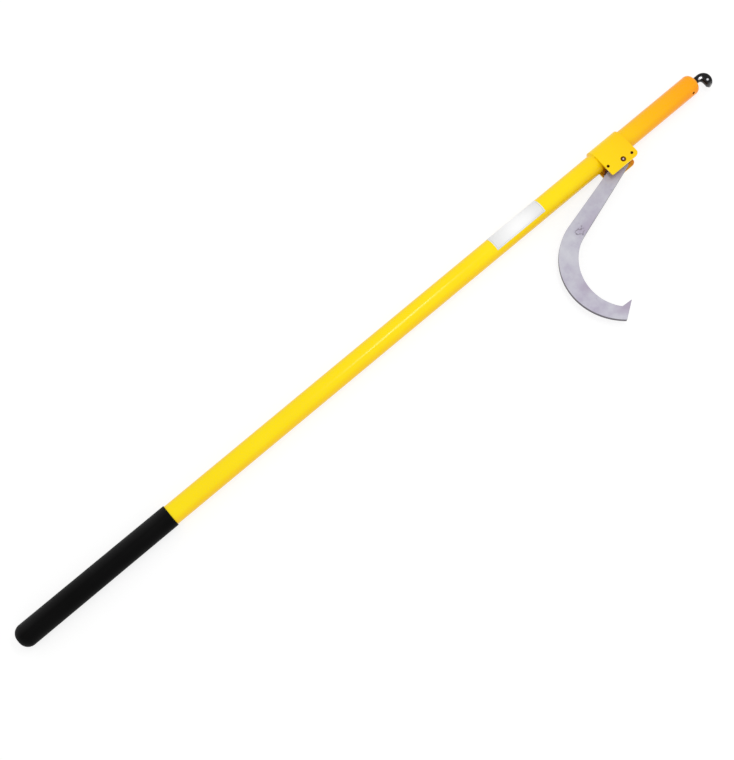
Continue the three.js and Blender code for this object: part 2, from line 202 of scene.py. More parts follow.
class HookSettings(bpy.types.PropertyGroup):
    """The plate hook"""

    eye_radius: metres(0.0115, "Radius round the pivot")
    heel_radius: metres(0.0117, "From the pivot to the shank's inner edge")
    heel_angle: degrees(-50, "Where the eye meets the heel")
    shank_length: metres(0.1515, "Straight inner edge, from the heel to the throat")
    shank_angle: degrees(197.7, "Direction of the inner edge, away from the eye")
    outer_edge_extra: metres(0.0023, "How much longer the straight outer edge is")
    outer_edge_angle: degrees(194.3, "Direction of the outer edge, away from the eye")
    throat_radius: metres(0.0871, "Radius of the throat")
    throat_end: degrees(219.9, "Where the throat ends")
    shoulder_margin: metres(0.0208, "How much more than the throat's the outer edge's tighter radius is")
    shoulder_end: degrees(194.2, "Where the tighter bend ends")
    back_margin: metres(0.0315, "How much more than the throat's the outer edge's wider radius is")
    back_end: degrees(229.7, "Where the wider bend ends")
    nook_rounding: metres(0.005, "Radius between throat and point")
    nook_lead: degrees(5, "Turn before the throat's end at which it leaves its arc")
    point_angle: degrees(231.3, "The point, seen from the throat's centre")
    point_height: metres(0.0137, "How far the point stands in from the throat")
    arc_step: degrees(1.5, "Turn between two corners of the outline's arcs")
    edge_rounding: metres(0.00045, "Radius of the plate's dressed edges")
    scuff_middle: metres((-0.1435, -0.0555, 0), "Where the dark scuffs on the plate's face lie")
    scuff_reach: metres(0.013, "Radius of the scuffed place")
    scuff_wave: metres(0.005, "How far the scuff's line wanders to either side")
    scuff_width: metres(0.0008, "Half of the width of the scuff's dark line")
    scuff_fade: metres(0.0021, "From the middle of the scuff's line to its faded edge")
    scuff_full_share: number(0.7, "Share of the scuffed place's radius within which its line is full")
    scuff_share: number(0.8, "How much of a scuff's own colour shows")
    scratch_shift: metres((0.03, 0.01, 0), "Moves the pattern of the small scratches")
    tint_start: metres(0.002, "From the throat's edge to where its tint is full")
    tint_end: metres(0.018, "From the throat's edge to where its tint ends")
    rolling_turn: degrees(-20, "Direction of the plate's rolling marks")
    plate_colour: screen((184, 182, 193), "Colour of the plate's faces")
    dull_shade: linear((0.84, 0.79, 0.87), "Multiplies the plate's colour where it is dull")
    pale_shade: linear((1.12, 1.14, 1.09), "Multiplies the plate's colour where it is pale")
    tint_shade: linear((0.8, 0.71, 0.8), "Multiplies the plate's colour along the throat")
    streak_shade: linear((0.94, 0.94, 0.945), "Multiplies the plate's colour in its dark streaks")
    sheen_shade: linear((1.02, 1.02, 1.02), "Multiplies the plate's colour between the streaks")
    scuff_colour: linear((0.16, 0.14, 0.17), "Colour of the scuffs and scratches")
    edge_colour: screen((92, 86, 96), "Colour of the plate's cut edge")


class ToothSettings(bpy.types.PropertyGroup):
    """The toe tooth"""

    shank_radius: metres(0.0062, "Radius of the round shank")
    neck_length: metres(0.002, "Round length outside the plug")
    crown_radius: metres(0.0166, "Radius of the beak's outer side")
    crown_end: degrees(-58, "Where the crown ends at the tip")
    half_width: metres(0.0075, "Half of the beak's width")
    mouth_reach: metres(0.0122, "From the plug to the beak's inner side")
    mouth_rounding: metres(0.0055, "Radius of the mouth's bend")
    tip_width: metres(0.0054, "Width of the ground tip")
    tip_slant: metres(0.0046, "How far up the beak its tip is ground back")
    squareness: number(1.6, "How much flatter than a circle the beak's section is", min=1, max=4)
    edge_rounding: metres(0.0003, "Radius on the ground tip's edges")
    # How far up from the tip the tooth turns grey.
    grey_tip_reach: metres(0.005, "How far up from the tip the black finish is worn")
    # Painted highlights: the middles of the two bright places on the neck and the beak, standing in for a
    # lamp's reflections.
    neck_highlight: metres((0.2168, 0.0176, 0.0295), "Middle of the rubbed place on the neck")
    beak_highlight: metres((0.2247, 0.0066, 0.0305), "Middle of the rubbed place on the beak")
    highlight_reach: metres(0.0026, "Radius of the rubbed places")
    # Colour of the painted highlights, which are also made metallic.
    painted_highlight_colour: screen((228, 228, 234), "Colour where the black finish is rubbed off")
    tip_colour: linear((0.17, 0.17, 0.175), "Colour where the tip is worn")
    colour: screen((14, 13, 15), "Colour of the polished black tooth")


class LabelSettings(bpy.types.PropertyGroup):
    """The bare label on the tube"""

    butt_end: metres(-0.2782, "From the pivot to the label's butt end")
    toe_end: metres(-0.1665, "From the pivot to the label's toe end")
    hook_side: degrees(38, "From straight up round to the label's edge on the hook's side")
    away_side: degrees(102, "From straight up round to the label's other edge")
    corner: metres(0.00083333, "How far back the label's corners are rounded")
    thickness: metres(0.00016, "Thickness of the label")
    line_inset: metres(0.0024, "From the label's edge to its border line")
    line_width: metres(0.00044, "Width of the border line")
    colour: screen((250, 250, 250), "Colour of the label")
    line_colour: screen((196, 200, 212), "Colour of the thin line inside the label's edge")


class StageSettings(bpy.types.PropertyGroup):
    """Floor, lights and camera"""

    target: metres((-0.6007, -0.01615, 0.02315), "The point in the middle of the picture")
    distance: metres(2.5267, "From the target to the camera")
    tilt: degrees(14.7561, "Camera's turn about X")
    lean: degrees(1.7835, "Camera's turn about Y")
    turn: degrees(-40.4253, "Camera's turn about Z")
    lens: number(69.53, "Focal length on a 36 mm sensor, in millimetres")
    floor_side: metres(12, "Length of the floor's sides")
    floor_middle: metres(-0.6, "From the pivot along the handle to the floor's middle")
    floor_gap: metres(0.0004, "Between the lower cheek and the floor")
    floor_glow: number(0.76, "Brightness of the floor, as the camera sees it, without light on it", min=0)
    floor_matt: linear((0.28, 0.28, 0.28), "How much of the light on the floor the camera sees")
    floor_colour: linear((0.88, 0.88, 0.88), "Colour of the floor")
    room_level: number(0.85, "Brightness of the room's even light", min=0)
    strip_level: number(0.19, "Brightness that the strip lamp adds on a surface facing it", min=0)
    strip_place: metres((-0.05, -0.1, 2.2), "Middle of the strip lamp")
    strip_turn: degrees(63, "From the handle's direction to the strip lamp's long side")
    strip_aim: metres(-0.3, "From the pivot along the handle to where the strip lamp points")
    strip_sides: FloatVectorProperty(
        description="Length and width of the strip lamp", default=(0.9, 0.1), size=2, unit="LENGTH")


class CantHookSettings(bpy.types.PropertyGroup):
    """All settings of the cant hook"""

    handle: PointerProperty(type=HandleSettings)
    grip: PointerProperty(type=GripSettings)
    bracket: PointerProperty(type=BracketSettings)
    pins: PointerProperty(type=PinSettings)
    hook: PointerProperty(type=HookSettings)
    tooth: PointerProperty(type=ToothSettings)
    label: PointerProperty(type=LabelSettings)
    stage: PointerProperty(type=StageSettings)


def settings():
    return bpy.context.scene.cant_hook


def polar(radius, angle):
    return Vector((radius * math.cos(angle), radius * math.sin(angle)))


def arc(centre, radius, start, end, steps):
    """Points of an arc in a plane, both ends included."""
    turn = (end - start) / steps
    return [Vector(centre) + polar(radius, start + turn * step) for step in range(steps + 1)]


def rounded_corner(before, corner, after, radius, steps):
    """Points of the round that replaces a sharp corner."""
    towards_before = (before - corner).normalized()
    towards_after = (after - corner).normalized()
    half_angle = towards_before.angle(towards_after) / 2
    centre = corner + (towards_before + towards_after).normalized() * radius / math.sin(half_angle)
    run = radius / math.tan(half_angle)
    first = corner + towards_before * run - centre
    last = corner + towards_after * run - centre
    turn = -first.angle_signed(last)
    return [centre + Matrix.Rotation(turn * step / steps, 2) @ first for step in range(steps + 1)]


def low_round(place, radius, rounding, steps):
    """Profile points, [along, radius], of a turned piece's rounded edge at its low end."""
    return arc((place + rounding, radius - rounding), rounding, math.pi, math.pi / 2, steps)


def high_round(place, radius, rounding, steps):
    """The same at its high end."""
    return arc((place - rounding, radius - rounding), rounding, math.pi / 2, 0, steps)


def rod(start, end, radius, rounding, steps=4):
    """Profile of a rod with rounded ends."""
    low = low_round(start, radius, rounding, steps)
    return [(start, 0), *low, *high_round(end, radius, rounding, steps), (end, 0)]


def ring(start, end, outer, inner, rounding, steps=4):
    """Closed profile of a ring with rounded edges."""
    quarter = math.pi / 2
    corners = [(start, outer, 2), (end, outer, 1), (end, inner, 0), (start, inner, -1)]
    middle = Vector(((start + end) / 2, (outer + inner) / 2))
    points = []
    for along, radius, turns in corners:
        corner = Vector((along, radius))
        to_middle = middle - corner
        inward = Vector([math.copysign(rounding, part) for part in to_middle])
        points += arc(corner + inward, rounding, quarter * turns, quarter * (turns - 1), steps)
    return points


def drawn_to(bm, corner, place):
    """Draws a straight edge from a corner and gives its far end."""
    end = bmesh.ops.extrude_vert_indiv(bm, verts=[corner])["verts"][0]
    end.co = place
    return end


def only_corners(parts):
    return [part for part in parts if isinstance(part, bmesh.types.BMVert)]


def drawn_round(bm, corner, centre, axis, angle, steps):
    """Draws an arc from a corner and gives its far end."""
    spun = bmesh.ops.spin(bm, geom=[corner], cent=centre, axis=axis, angle=angle, steps=steps)
    return only_corners(spun["geom_last"])[0]


def move_drawn(bm, drawn, way):
    """Moves what an extrusion has just made."""
    bmesh.ops.translate(bm, verts=only_corners(drawn["geom"]), vec=way)


def round_flat_corners(bm, corners, offset, segments):
    """Rounds corners of a sheet that has no thickness yet."""
    bmesh.ops.bevel(
        bm, geom=corners, offset=offset, segments=segments, affect="VERTICES", profile=0.5, material=-1)


def turned(profile, axis, centre, side, segments, closed=False, angle=math.tau):
    """A profile of [along, radius] points, spun round an axis."""
    bm = bmesh.new()
    corners = [bm.verts.new(centre + axis * along + side * radius) for along, radius in profile]
    edges = [bm.edges.new(pair) for pair in zip(corners, corners[1:])]
    if closed:
        edges.append(bm.edges.new((corners[-1], corners[0])))
    full = math.isclose(angle, math.tau)
    bmesh.ops.spin(
        bm, geom=corners + edges, cent=centre, axis=axis, angle=angle, steps=segments, use_merge=full)
    bmesh.ops.remove_doubles(bm, verts=bm.verts, dist=SAME_PLACE)
    if not full:
        bmesh.ops.holes_fill(bm, edges=[edge for edge in bm.edges if edge.is_boundary])
    bmesh.ops.recalc_face_normals(bm, faces=bm.faces)
    return bm


def make_object(name, bm):
    mesh = bpy.data.meshes.new(name)
    bm.to_mesh(mesh)
    bm.free()
    piece = bpy.data.objects.new(name, mesh)
    bpy.context.scene.collection.objects.link(piece)
    return piece


def turned_on_handle(name, profile, segments=128, closed=False):
    return make_object(name, turned(profile, ALONG, AXIS, UPRIGHT, segments, closed))


def turned_on_pivot(name, profile, segments=64, closed=False):
    return make_object(name, turned(profile, UPRIGHT, PIVOT, ALONG, segments, closed))


def keep_modifiers_result(piece):
    """Turns what the modifiers show into the piece's own mesh."""
    graph = bpy.context.evaluated_depsgraph_get()
    made = bpy.data.meshes.new_from_object(piece.evaluated_get(graph))
    old = piece.data
    piece.modifiers.clear()
    piece.data = made
    bpy.data.meshes.remove(old)
    made.name = piece.name


def cut(piece, cutters):
    """Takes the cutters' shapes, given as one bmesh, out of the piece."""
    tool = make_object(piece.name + "_cutter", cutters)
    boolean = piece.modifiers.new("Cut", "BOOLEAN")
    boolean.operation = "DIFFERENCE"
    boolean.solver = "EXACT"
    boolean.object = tool
    keep_modifiers_result(piece)
    bpy.data.meshes.remove(tool.data)


def round_edges(piece, width, angle=SHARP_ANGLE):
    bevel = piece.modifiers.new("Edge rounding", "BEVEL")
    bevel.width = width
    bevel.segments = 3
    bevel.limit_method = "ANGLE"
    bevel.angle_limit = angle
    bevel.harden_normals = True


def dress(piece, body, materials, replaced=(), sharp=SHARP_ANGLE):
    """Shades the piece, gives it its finish and ties it to its body."""
    piece.data.shade_smooth()
    piece.data.set_sharp_from_angle(angle=sharp)
    piece.data.materials.clear()
    for material in materials:
        piece.data.materials.append(material)
    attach(piece, body)
    if replaced:
        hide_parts(*replaced)


class Nodes:
    """The node tree of a material or a world, under construction."""

    def __init__(self, owner):
        owner.use_nodes = True
        self.tree = owner.node_tree
        self.tree.nodes.clear()

    def feed(self, socket, value):
        """Links a socket to another one, or sets its value."""
        if isinstance(value, bpy.types.NodeSocket):
            self.tree.links.new(value, socket)
        else:
            socket.default_value = value

    def add(self, kind, inputs=None, **options):
        node = self.tree.nodes.new(kind)
        for key, value in options.items():
            setattr(node, key, value)
        for key, value in (inputs or {}).items():
            self.feed(node.inputs[key], value)
        return node

    def maths(self, operation, first, second=0):
        return self.add("ShaderNodeMath", {0: first, 1: second}, operation=operation).outputs["Value"]

    def mixed(self, share, first, second):
        """One shader's output turning into another's."""
        inputs = {0: share, 1: first.outputs[0], 2: second.outputs[0]}
        return self.add("ShaderNodeMixShader", inputs).outputs[0]


class Finish(Nodes):
    """A procedural material: its object coordinates and its surface shader."""

    def __init__(self, name):
        self.material = bpy.data.materials.new(name)
        super().__init__(self.material)
        self.surface = self.add("ShaderNodeBsdfPrincipled")
        self.output = self.add("ShaderNodeOutputMaterial", {"Surface": self.surface.outputs["BSDF"]})
        self.place = self.add("ShaderNodeTexCoord").outputs["Object"]

    def axes(self, place=None):
        """The X, Y and Z of coordinates."""
        return self.add("ShaderNodeSeparateXYZ", {"Vector": place or self.place}).outputs

    def mapped(self, location=(0, 0, 0), rotation=(0, 0, 0), scale=(1, 1, 1)):
        """Object coordinates, moved, turned or stretched."""
        inputs = {"Vector": self.place, "Location": location, "Rotation": rotation, "Scale": scale}
        return self.add("ShaderNodeMapping", inputs).outputs["Vector"]

    def noise(self, scale, detail=3, roughness=0.5, place=None):
        inputs = {"Vector": place or self.place, "Scale": scale, "Detail": detail, "Roughness": roughness}
        return self.add("ShaderNodeTexNoise", inputs).outputs["Fac"]

    def spread(self, value, low=0.3, high=0.7, least=0, most=1):
        """Goes from least to most while the value goes from low to high."""
        inputs = {"Value": value, "From Min": low, "From Max": high, "To Min": least, "To Max": most}
        return self.add("ShaderNodeMapRange", inputs).outputs["Result"]

    def off(self, value, middle):
        """How far a value is from a middle one, on either side."""
        return self.maths("ABSOLUTE", self.maths("SUBTRACT", value, middle))

    def off_point(self, point, weights=(1, 1, 0)):
        """Distance from a point, with each axis weighted: a weight of 0 leaves that axis out."""
        moved = self.mapped(location=-Vector(point))
        moved = self.add("ShaderNodeVectorMath", {0: moved, 1: weights}, operation="MULTIPLY")
        length = self.add("ShaderNodeVectorMath", {0: moved.outputs["Vector"]}, operation="LENGTH")
        return length.outputs["Value"]

    def product(self, first, *others):
        for other in others:
            first = self.maths("MULTIPLY", first, other)
        return first

    def blend(self, share, first, second, mode="MIX"):
        node = self.add("ShaderNodeMix", data_type="RGBA", blend_type=mode)
        sockets = {socket.identifier: socket for socket in (*node.inputs, *node.outputs)}
        self.feed(sockets["Factor_Float"], share)
        for key, colour in (("A_Color", first), ("B_Color", second)):
            linked = isinstance(colour, bpy.types.NodeSocket)
            self.feed(sockets[key], colour if linked else [*colour, 1])
        return sockets["Result_Color"]

    def tinted(self, colour, tint):
        return self.blend(1, colour, tint, "MULTIPLY")

    def ramp(self, share, stops):
        """A colour for each place along a share from 0 to 1; the first two stops are the outermost."""
        node = self.add("ShaderNodeValToRGB", {"Fac": share})
        elements = node.color_ramp.elements
        for index, (place, colour) in enumerate(stops):
            element = elements[index] if index < 2 else elements.new(place)
            element.position = place
            element.color = [*colour, 1]
        return node.outputs["Color"]

    def mottled(self, pattern, colour, least_share, most_share, low=0.3, high=0.7):
        """A colour that goes from its least to its most share while a pattern goes from low to high."""
        stops = ((low, least_share), (high, most_share))
        return self.ramp(pattern, [(place, Vector(colour) * share) for place, share in stops])

    def bump(self, height, strength, distance, normal=None):
        inputs = {"Height": height, "Strength": strength, "Distance": distance}
        if normal:
            inputs["Normal"] = normal
        return self.add("ShaderNodeBump", inputs).outputs["Normal"]

    def set(self, **values):
        """Sets or links the surface's inputs, named with underscores for spaces."""
        for key, value in values.items():
            self.feed(self.surface.inputs[key.replace("_", " ")], value)
        return self.material


def powder_coat(name="yellow_powder_coat", ripples=0):
    """Yellow powder coat, deeper towards the toe, with painted shade on the tube's flanks and painted
    shade between the cheeks.
    """
    if name in bpy.data.materials:
        return bpy.data.materials[name]
    handle = settings().handle
    bracket = settings().bracket
    finish = Finish(name)
    x, y, z = finish.axes()
    toe = Vector(handle.toe_end_colour)
    collar = Vector(handle.collar_paint)
    past_collar = collar.lerp(toe, 0.55)
    butt_share, collar_share, past_collar_share = 0.5, 0.67, 0.82
    # The colour turns deeper orange along the handle towards the toe end.
    paint = finish.ramp(finish.spread(x, low=handle.fade_start, high=plug_high.x), [
        (0, handle.butt_paint),
        (1, toe),
        (butt_share, handle.butt_paint),
        (collar_share, collar),
        (past_collar_share, past_collar),
    ])
    clouds = finish.spread(finish.noise(scale=9, detail=4))
    colour = finish.tinted(paint, finish.ramp(clouds, [(0, handle.cloud_shade), (1, WHITE)]))
    # Painted shade: the paint on the tube's flanks is multiplied darker and more orange.
    shaded_flank_edge = TUBE_RADIUS * handle.painted_shade_flank_share
    shaded_flank = finish.spread(finish.off(y, AXIS.y), low=shaded_flank_edge, high=TUBE_RADIUS)
    off_axis = finish.off_point(AXIS, weights=(0, 1, 1))
    on_tube = finish.maths("LESS_THAN", off_axis, TUBE_RADIUS + bracket.wall / 2)
    shaded_flank = finish.product(shaded_flank, on_tube)
    colour = finish.blend(shaded_flank, colour, finish.tinted(colour, handle.painted_flank_shade))
    # Painted shade: between the cheeks, within the collar's length and on the hook's side, the paint
    # turns deep orange in patches as if in the recess's shade.
    half_length = (bracket_high.x - bracket_low.x) / 2
    off_middle = finish.off(x, bracket_low.x + half_length)
    inner_face = BRACKET_HALF_WIDTH - bracket.wall * bracket.inner_share
    patches = finish.noise(scale=110, detail=4, roughness=0.6)
    painted_recess_share = finish.product(
        finish.maths("LESS_THAN", off_middle, half_length - bracket.edge_rounding),
        finish.maths("LESS_THAN", finish.off(z, AXIS.z), inner_face),
        finish.maths("LESS_THAN", y, AXIS.y),
        finish.spread(patches, low=0.36, high=0.6, least=0.3, most=0.95),
    )
    colour = finish.blend(painted_recess_share, colour, bracket.rust)
    peel = finish.noise(scale=620, detail=2, roughness=0.4)
    normal = finish.bump(peel, strength=0.1, distance=PEEL_DEPTH)
    if ripples:
        stretched = finish.mapped(scale=(0.35, 1, 1))
        bead = finish.noise(scale=210, roughness=0.6, place=stretched)
        normal = finish.bump(bead, strength=ripples, distance=RIPPLE_DEPTH, normal=normal)
    gloss = finish.spread(finish.noise(scale=45), least=0.15, most=0.2)
    return finish.set(Base_Color=colour, Roughness=gloss, Normal=normal, Specular_IOR_Level=0.2)


def dipped_vinyl():
    """Black dipped vinyl: matt, with painted light that makes it paler away from the hook, a fine grain
    and slight waves.
    """
    grip = settings().grip
    finish = Finish("black_dipped_vinyl")
    # Painted light: the vinyl turns lighter towards the side away from the hook.
    pale = finish.spread(finish.axes()["Y"], low=AXIS.y, high=AXIS.y + TUBE_RADIUS)
    clouds = finish.spread(finish.noise(scale=14, detail=4), least=0.75, most=1.2)
    shade = finish.tinted(finish.blend(pale, grip.colour, grip.painted_lit_side_colour), clouds)
    stretched = finish.mapped(scale=(0.35, 1, 1))
    waves = finish.noise(scale=24, detail=2, roughness=0.4, place=stretched)
    normal = finish.bump(waves, strength=0.25, distance=WAVE_DEPTH)
    grain = finish.noise(scale=1500, roughness=0.6)
    normal = finish.bump(grain, strength=0.16, distance=GRAIN_DEPTH, normal=normal)
    gloss = finish.spread(finish.noise(scale=60, detail=4), least=0.46, most=0.6)
    return finish.set(Base_Color=shade, Roughness=gloss, Normal=normal, Specular_IOR_Level=0.05)


def moulded_plastic():
    """Plain black moulded plastic, under the grip."""
    colour = settings().grip.plug_colour
    finish = Finish("black_moulded_plastic")
    shade = finish.mottled(finish.noise(scale=80), colour, least_share=0.6, most_share=1)
    normal = finish.bump(finish.noise(scale=1200, detail=2), strength=0.1, distance=GRAIN_DEPTH)
    return finish.set(Base_Color=shade, Roughness=0.5, Normal=normal)


def plate_face():
    """The hook's rolled plate faces: grey, clouded, with rolling marks, stains and scuffs."""
    hook = settings().hook
    finish = Finish("rolled_plate_steel")
    colour = Vector(hook.plate_colour)
    clouds = finish.spread(finish.noise(scale=24, detail=5, roughness=0.6), low=0.34, high=0.68)
    dull = colour * Vector(hook.dull_shade)
    pale = colour * Vector(hook.pale_shade)
    shade = finish.ramp(clouds, [(0, dull), (1, pale), (0.5, colour)])
    off_throat = finish.off_point(PIVOT + throat_middle().to_3d())
    tint_low = hook.throat_radius + hook.tint_end
    tint_high = hook.throat_radius + hook.tint_start
    near_throat = finish.spread(off_throat, low=tint_low, high=tint_high)
    patches = finish.spread(finish.noise(scale=17), low=0.38, high=0.56)
    tinted = colour * Vector(hook.tint_shade)
    shade = finish.blend(finish.product(near_throat, patches), shade, tinted)
    along_rolling = finish.mapped(rotation=(0, 0, hook.rolling_turn), scale=(0.12, 1.6, 1))
    rolled = finish.noise(scale=90, detail=4, roughness=0.65, place=along_rolling)
    streaks = finish.ramp(finish.spread(rolled), [(0, hook.streak_shade), (1, hook.sheen_shade)])
    shade = finish.tinted(shade, streaks)
    off_scuffs = finish.off_point(hook.scuff_middle)
    wander = finish.noise(scale=110, detail=2)
    wander = finish.spread(wander, least=-hook.scuff_wave, most=hook.scuff_wave)
    off_mark = finish.off(finish.maths("ADD", off_scuffs, wander), hook.scuff_reach / 2)
    inner_reach = hook.scuff_reach * hook.scuff_full_share
    mark = finish.product(
        finish.spread(off_mark, low=hook.scuff_fade, high=hook.scuff_width),
        finish.spread(off_scuffs, low=hook.scuff_reach, high=inner_reach),
        finish.spread(finish.noise(scale=180, roughness=0.6), low=0.4, high=0.5),
    )
    shifted = finish.mapped(location=hook.scratch_shift, scale=(1, 0.55, 1))
    scratches = finish.noise(scale=150, detail=5, roughness=0.72, place=shifted)
    stain = finish.spread(finish.noise(scale=33, detail=2), low=0.52, high=0.62)
    speck = finish.product(finish.spread(scratches, low=0.63, high=0.69), stain)
    scuffed = finish.product(finish.maths("MAXIMUM", mark, speck), hook.scuff_share)
    shade = finish.blend(scuffed, shade, hook.scuff_colour)
    gloss = finish.spread(rolled, least=0.42, most=0.56)
    normal = finish.bump(rolled, strength=0.12, distance=ROLLING_DEPTH)
    fine = finish.noise(scale=900, roughness=0.6)
    normal = finish.bump(fine, strength=0.12, distance=FINE_DEPTH, normal=normal)
    return finish.set(Base_Color=shade, Metallic=0.35, Roughness=gloss, Normal=normal)


def plate_edge():
    """The hook's cut edge: darker, with the cut's fine upright lines."""
    hook = settings().hook
    finish = Finish("cut_plate_edge")
    upright = finish.mapped(scale=(1, 1, 0.05))
    lines = finish.noise(scale=900, detail=4, roughness=0.6, place=upright)
    line_share = 0.6
    shown_lines = finish.product(lines, line_share)
    clouds = finish.product(finish.noise(scale=60), 1 - line_share)
    mixed = finish.spread(finish.maths("ADD", shown_lines, clouds))
    shade = finish.mottled(mixed, hook.edge_colour, least_share=0.6, most_share=1.25, low=0, high=1)
    normal = finish.bump(lines, strength=0.35, distance=CUT_DEPTH)
    return finish.set(Base_Color=shade, Metallic=0.45, Roughness=0.46, Normal=normal)


def bright_turned_steel(name, middle):
    """Bright steel with the fine rings that turning leaves, centred on a piece's axis."""
    pins = settings().pins
    finish = Finish(name)
    rings = finish.product(finish.off_point(middle), math.tau / pins.turning_pitch)
    shade = finish.mottled(finish.noise(scale=300), pins.bright_steel, least_share=0.82, most_share=1)
    normal = finish.bump(finish.maths("SINE", rings), strength=0.12, distance=FINE_DEPTH)
    return finish.set(Base_Color=shade, Metallic=0.9, Roughness=0.26, Normal=normal)


def blackened_steel():
    """Oil-blackened steel of the stop pins, the set screw and the pivot pin's groove."""
    name = "oil_blackened_steel"
    if name in bpy.data.materials:
        return bpy.data.materials[name]
    colour = settings().pins.dark_steel
    finish = Finish(name)
    clouds = finish.noise(scale=420, detail=4, roughness=0.6)
    shade = finish.mottled(clouds, colour, least_share=0.5, most_share=1.3, high=0.72)
    normal = finish.bump(finish.noise(scale=1800, detail=2), strength=0.15, distance=FINE_DEPTH)
    return finish.set(Base_Color=shade, Roughness=0.5, Normal=normal, Specular_IOR_Level=0.08)


def polished_black():
    """The tooth's polished black steel: faint grinding marks, a greyer tip and two painted highlights."""
    tooth = settings().tooth
    finish = Finish("polished_black_steel")
    clouds = finish.spread(finish.noise(scale=160, detail=4, roughness=0.6), low=0.35)
    shade = finish.mottled(clouds, tooth.colour, least_share=0.7, most_share=1.5, low=0, high=1)
    # The black turns grey in patches towards the tip.
    grey_tip_high = tooth_low.y + tooth.grey_tip_reach
    near_tip = finish.spread(finish.axes()["Y"], low=grey_tip_high, high=tooth_low.y)
    patches = finish.spread(finish.noise(scale=420, roughness=0.6), low=0.2)
    shade = finish.blend(finish.product(near_tip, patches), shade, tooth.tip_colour)
    marks = finish.noise(scale=700, place=finish.mapped(scale=(0.2, 1, 1)))
    normal = finish.bump(marks, strength=0.05, distance=FINE_DEPTH)
    # Painted highlights: two bright metallic places on the neck and the beak stand in for a lamp's
    # reflections.
    painted_highlight = 0
    for spot, weights in ((tooth.neck_highlight, (0.5, 1, 0.5)), (tooth.beak_highlight, (1, 1, 0.5))):
        off_highlight = finish.off_point(spot, weights)
        highlight_share = finish.spread(off_highlight, low=tooth.highlight_reach, high=tooth.highlight_reach / 2)
        painted_highlight = finish.maths("MAXIMUM", painted_highlight, highlight_share)
    shade = finish.blend(painted_highlight, shade, tooth.painted_highlight_colour)
    gloss = finish.spread(clouds, low=0, high=1, least=0.2, most=0.3)
    return finish.set(
        Base_Color=shade, Metallic=painted_highlight, Roughness=gloss, Normal=normal, Specular_IOR_Level=0.2)


def plated_steel():
    """Dull zinc plating of the washers and spacers."""
    name = "zinc_plated_steel"
    if name in bpy.data.materials:
        return bpy.data.materials[name]
    pins = settings().pins
    finish = Finish(name)
    cells = finish.add("ShaderNodeTexVoronoi", {"Vector": finish.place, "Scale": 900})
    shade = finish.ramp(cells.outputs["Distance"], [(0, pins.dark_zinc), (0.8, pins.zinc)])
    normal = finish.bump(finish.noise(scale=1200), strength=0.12, distance=FINE_DEPTH)
    return finish.set(Base_Color=shade, Metallic=0.85, Roughness=0.38, Normal=normal)


def label_vinyl():
    """The bare label's white vinyl, with a thin border line inside its edge, laid out on its UV map."""
    label = settings().label
    finish = Finish("white_label_vinyl")
    along, around, _ = finish.axes(finish.add("ShaderNodeUVMap", uv_map="label").outputs["UV"])
    length = label.toe_end - label.butt_end
    width = (label.hook_side + label.away_side) * TUBE_RADIUS
    edge_distances = [
        finish.maths("SUBTRACT", side / 2, finish.off(spot, side / 2))
        for spot, side in ((along, length), (around, width))
    ]
    off_line = finish.off(finish.maths("MINIMUM", *edge_distances), label.line_inset)
    line = finish.maths("LESS_THAN", off_line, label.line_width / 2)
    white = finish.mottled(finish.noise(scale=60), label.colour, least_share=0.985, most_share=1)
    shade = finish.blend(line, white, label.line_colour)
    normal = finish.bump(finish.noise(scale=700, detail=2), strength=0.04, distance=FINE_DEPTH)
    return finish.set(Base_Color=shade, Roughness=0.42, Normal=normal, Specular_IOR_Level=0.15)


class CANTHOOK_OT_handle_tube(bpy.types.Operator):
    """Builds the painted tube with its deburred ends and the set screw's hole"""

    bl_idname = "cant_hook.handle_tube"
    bl_label = "Handle Tube"

    def execute(self, context):
        handle = settings().handle
        inner = TUBE_RADIUS - handle.tube_wall
        bore = handle.screw_radius + settings().pins.bore_gap
        profile = ring(tube_low.x, tube_high.x, TUBE_RADIUS, inner, handle.end_rounding)
        tube = turned_on_handle("handle_tube_piece", profile, closed=True)
        cut(tube, screw_shape(bore, start=inner / 2, end=TUBE_RADIUS * 2, segments=32))
        dress(tube, "handle", [powder_coat()], ["handle_tube"])
        return {"FINISHED"}


def screw_axis():
    """Where the set screw's axis leaves the tube's, and its direction."""
    handle = settings().handle
    start = Vector((plug_high.x - handle.screw_reach, AXIS.y, AXIS.z))
    return start, Matrix.Rotation(handle.screw_angle, 3, "X") @ UPRIGHT


def screw_shape(radius, start, end, segments):
    """A plain round bore or hexagon along the set screw's axis."""
    centre, axis = screw_axis()
    profile = [(start, 0), (start, radius), (end, radius), (end, 0)]
    return turned(profile, axis, centre, ALONG, segments)


